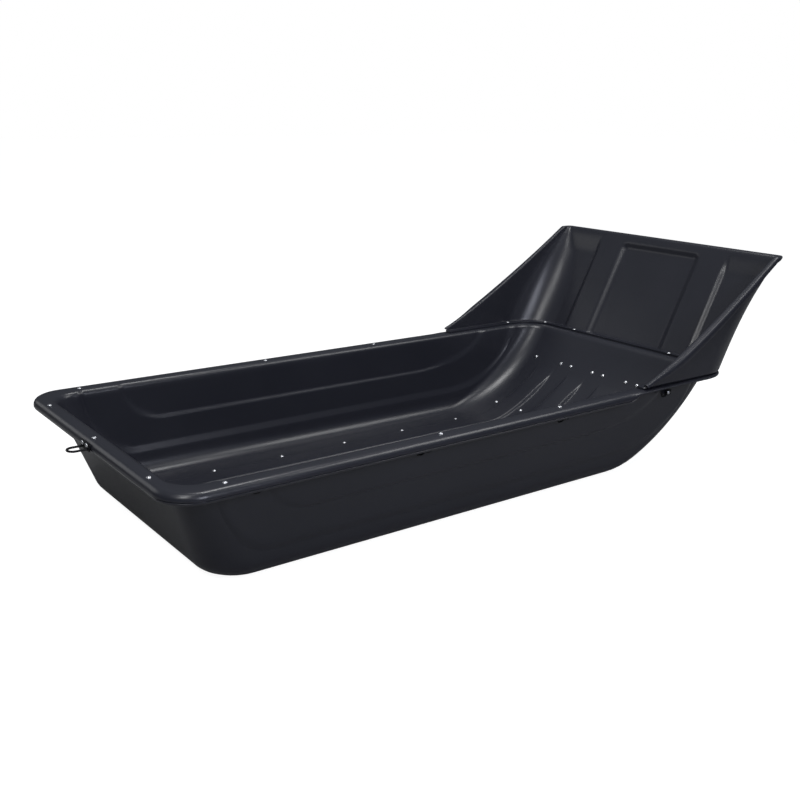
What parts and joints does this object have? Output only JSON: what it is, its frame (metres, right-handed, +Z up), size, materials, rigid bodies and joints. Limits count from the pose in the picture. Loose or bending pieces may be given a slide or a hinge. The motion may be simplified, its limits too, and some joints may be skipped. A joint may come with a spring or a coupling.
{
  "type": "ice fishing sled",
  "caption": "Black moulded utility sled with a rolled rim, ribbed floor, runners, lashing hooks and a tall raked snow shield riveted on its bow.",
  "frame": {"origin": "point on the ground below the middle of the sled's overall length and width", "axes": "+X towards the bow and its snow shield, +Y to the sled's left, +Z up"},
  "size_m": [1.7512, 0.806, 0.511],
  "materials": {
    "moulded_plastic": "satin",
    "runner_plastic": "matte",
    "black_steel": "satin",
    "zinc": "satin"
  },
  "bodies": {
    "root": {"tub": "moulded_plastic", "snow_shield": "moulded_plastic", "rim_tube": "black_steel", "runner_1": "runner_plastic", "runner_2": "runner_plastic", "runner_3": "runner_plastic", "runner_4": "runner_plastic", "runner_5": "runner_plastic", "rim_rivet_rear_1": "zinc", "rim_rivet_rear_2": "zinc", "rim_rivet_rear_3": "zinc", "rim_rivet_left_1": "zinc", "rim_rivet_left_2": "zinc", "rim_rivet_left_3": "zinc", "rim_rivet_right_1": "zinc", "rim_rivet_right_2": "zinc", "rim_rivet_right_3": "zinc", "shield_rivet_left_wing": "zinc", "shield_rivet_left_1": "zinc", "shield_rivet_left_2": "zinc", "shield_rivet_right_wing": "zinc", "shield_rivet_right_1": "zinc", "shield_rivet_right_2": "zinc", "runner_rivet_1_front_1": "zinc", "runner_rivet_1_rear": "zinc", "runner_rivet_2_front_1": "zinc", "runner_rivet_2_front_2": "zinc", "runner_rivet_2_rear": "zinc", "runner_rivet_3_front_1": "zinc", "runner_rivet_3_front_2": "zinc", "runner_rivet_3_rear": "zinc", "runner_rivet_4_front_1": "zinc", "runner_rivet_4_front_2": "zinc", "runner_rivet_4_rear": "zinc", "runner_rivet_5_front_1": "zinc", "runner_rivet_5_rear": "zinc", "lashing_hook_left_1": "black_steel", "hook_rivet_left_1": "zinc", "lashing_hook_left_2": "black_steel", "hook_rivet_left_2": "zinc", "lashing_hook_left_3": "black_steel", "hook_rivet_left_3": "zinc", "lashing_hook_left_4": "black_steel", "hook_rivet_left_4": "zinc", "lashing_hook_right_1": "black_steel", "hook_rivet_right_1": "zinc", "lashing_hook_right_2": "black_steel", "hook_rivet_right_2": "zinc", "lashing_hook_right_3": "black_steel", "hook_rivet_right_3": "zinc", "lashing_hook_right_4": "black_steel", "hook_rivet_right_4": "zinc", "tow_eye": "black_steel", "tow_rivet_left": "zinc", "tow_rivet_right": "zinc"}
  },
  "joints": []
}
